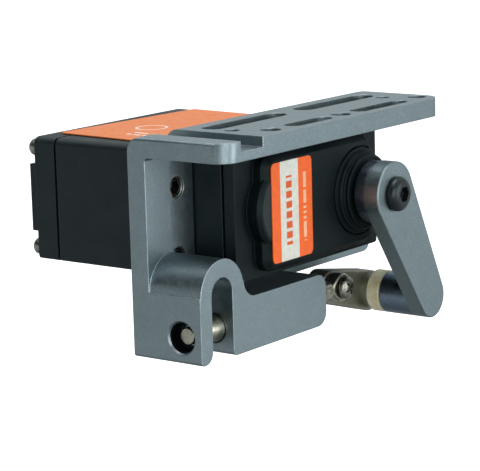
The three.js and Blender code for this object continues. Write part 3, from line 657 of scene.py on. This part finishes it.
def joint_parts():
    washer = turned("crank_washer_fine", "crank_washer", NYLON, "X", CRANK_PIN, [
        (1.75, 9.5), (3.5, 9.5), (3.55, 9.6), (3.55, 11.75), (3.5, 11.85), (1.75, 11.85),
    ], bevel=0.06)
    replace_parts(washer, "crank_washer")
    refined("crank_pin", STEEL)
    ends = [(y, z - LINK_DROP, radius) for (y, z), radius in ((CRANK_PIN, 3.5), (PIVOT, 2.85))]
    bar = shown("link_bar", "link", bar_mesh(*ends, 4.5, 8, 0.3), LINK_GREY)
    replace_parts(with_flat_faces(bar), "link")
    turned("link_hub", "link", LINK_GREY, "X", CRANK_PIN, [
        (1.75, 7.8), (3.15, 7.8), (3.15, 9.3), (3.05, 9.4), (1.75, 9.4),
    ])
    eye = shown("rod_eye_fine", "rod_eye", bar_mesh((40.4, PIVOT[1], 1.5), (*PIVOT, 2.4), 8.3, 10.4, 0.35), STEEL)
    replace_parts(carved(with_flat_faces(eye), turned_mesh("X", PIVOT, [(0, 7), (1.7, 7), (1.7, 12), (0, 12)])), "rod_eye")
    under, top = 10.7, 11.8
    head = turned("pivot_screw_fine", "pivot_screw", SCREW_STEEL, "X", PIVOT, [
        (0, 5), (1.1, 5), (1.1, under), (1.8, under), (1.9, under + 0.15), (1.88, under + 0.4), (1.7, under + 0.75),
        (1.3, under + 0.98), (0.7, top), (0, top),
    ], bevel=0.05)
    carved(head, *cross_meshes(PIVOT, top, 1.15, 0.2, 0.6, 32, 1))
    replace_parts(head, "pivot_screw")


def release_pin():
    """The pin, a turned cone with a flat sawn tip, and the bush round it in the hook's front wall."""
    pin = turned("release_pin_fine", "release_pin", STEEL, "Y", RELEASE_PIN, [
        (0, 1.4), (1.22, 1.4), (1.4, 1.58), (1.4, 3), (2.22, 7.9), (2.3, 8.5), (2.3, 20), (1.5, 20.3), (1.5, 38.6),
        (0, 38.6),
    ], bevel=0.06)
    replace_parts(pin, "release_pin")
    # The bush takes the same dark grey that paints shade in the bore.
    turned("pin_bush", "bracket", SHADED_BORE_GREY, "Y", RELEASE_PIN, [
        (1.62, 2.1), (2.38, 2.1), (2.38, 2.75), (1.62, 2.75),
    ])


# ---- studio -------------------------------------------------------------------------------------

FLOOR_Z = -0.12


def studio_floor():
    bpy.ops.mesh.primitive_plane_add(size=8, location=(0, 0, FLOOR_Z))
    floor = bpy.context.object
    floor.name = "floor"
    s = Shader("floor_white", roughness=0.9, Emission_Color=rgb(252, 252, 252), Emission_Strength=0.85)
    s.colour(s.mix(s.noise(400), rgb(236, 236, 236), rgb(246, 246, 246)))
    floor.data.materials.append(s.material)
    floor.visible_diffuse = False
    floor.visible_glossy = False


def area_light(name, place, size, power, colour=(1, 1, 1), aim=(0, 0, -0.015)):
    light = bpy.data.lights.new(name, "AREA")
    light.energy = power
    light.shape = "RECTANGLE"
    light.size, light.size_y = size
    light.color = colour
    holder = bpy.data.objects.new(name, light)
    holder.location = place
    holder.rotation_euler = (Vector(aim) - Vector(place)).to_track_quat("-Z", "Y").to_euler()
    bpy.context.scene.collection.objects.link(holder)


SKY = [(-1, 0.16), (-0.77, 0.2), (-0.3, 0.6), (0.0, 0.62), (0.25, 0.56), (0.7, 0.75), (1, 0.9)]  # height, brightness


def studio_lights():
    """A bright table and backdrop, a dim room behind the camera, and softboxes overhead and at the right."""
    world = bpy.data.worlds.new("studio")
    bpy.context.scene.world = world
    world.use_nodes = True
    n = Nodes(world.node_tree, "Generated")
    _, depth, height = n.add("SeparateXYZ", Vector=n.place).outputs
    ramp = n.add("ValToRGB", Fac=n.spread(height, 0, 1, -1, 1))
    stops = ramp.color_ramp.elements
    for stop, (level, light) in zip((stops[0], stops[1], *(stops.new(0.5) for _ in SKY[2:])), SKY):
        stop.position = (level + 1) / 2
        stop.color = (0.95 * light, 0.99 * light, light, 1)
    room = n.both(n.spread(depth, 1, 0, -0.4, 0.25), n.band(height, 0.14, 0.74, 0.1))
    shaded = n.mix(n.math("MULTIPLY", room, 0.96), ramp.outputs["Color"], (0.02, 0.025, 0.03, 1))
    n.feed(world.node_tree.nodes["Background"].inputs["Color"], shaded)
    area_light("top_softbox", (-0.05, -0.02, 0.45), (0.3, 0.3), 1.3, (1, 1, 0.98))
    area_light("right_softbox", (0.5, 0.2, 0.02), (0.3, 0.3), 0.8, (0.97, 0.98, 1))
    area_light("camera_softbox", (0.45, -0.3, 0.1), (0.5, 0.4), 1.5)


CAMERA = {"place": (0.19720, -0.27474, 0.04608), "azimuth": 37.2, "elevation": 10.94, "roll": -1.6, "focal": 160.5}


def photo_camera():
    a, e, roll = (math.radians(CAMERA[key]) for key in ("azimuth", "elevation", "roll"))
    forward = Vector((-math.sin(a) * math.cos(e), math.cos(a) * math.cos(e), -math.sin(e)))
    level = Vector((math.cos(a), math.sin(a), 0))
    over = level.cross(forward)
    right = math.cos(roll) * level + math.sin(roll) * over
    up = -math.sin(roll) * level + math.cos(roll) * over
    lens = bpy.data.cameras.new("camera")
    lens.sensor_width = 36
    lens.lens = CAMERA["focal"]
    lens.clip_start = 0.01
    camera = bpy.data.objects.new("camera", lens)
    turn = Matrix((right, up, -forward)).transposed().to_4x4()
    camera.matrix_world = Matrix.Translation(CAMERA["place"]) @ turn
    bpy.context.scene.collection.objects.link(camera)
    bpy.context.scene.camera = camera


# ---- the whole ----------------------------------------------------------------------------------

for node, item in NODES.items():
    item.data.materials.clear()
    item.data.materials.append(LOOK_OF_SLOT[SLOT_OF[node]])

bracket()
hook_corner_bead()
ear_screws()
servo_case()
shaft_collar()
case_screws()
cable_gland()
labels()
crank()
joint_parts()
release_pin()

studio_floor()
studio_lights()
photo_camera()
bpy.context.scene.view_settings.view_transform = "Standard"
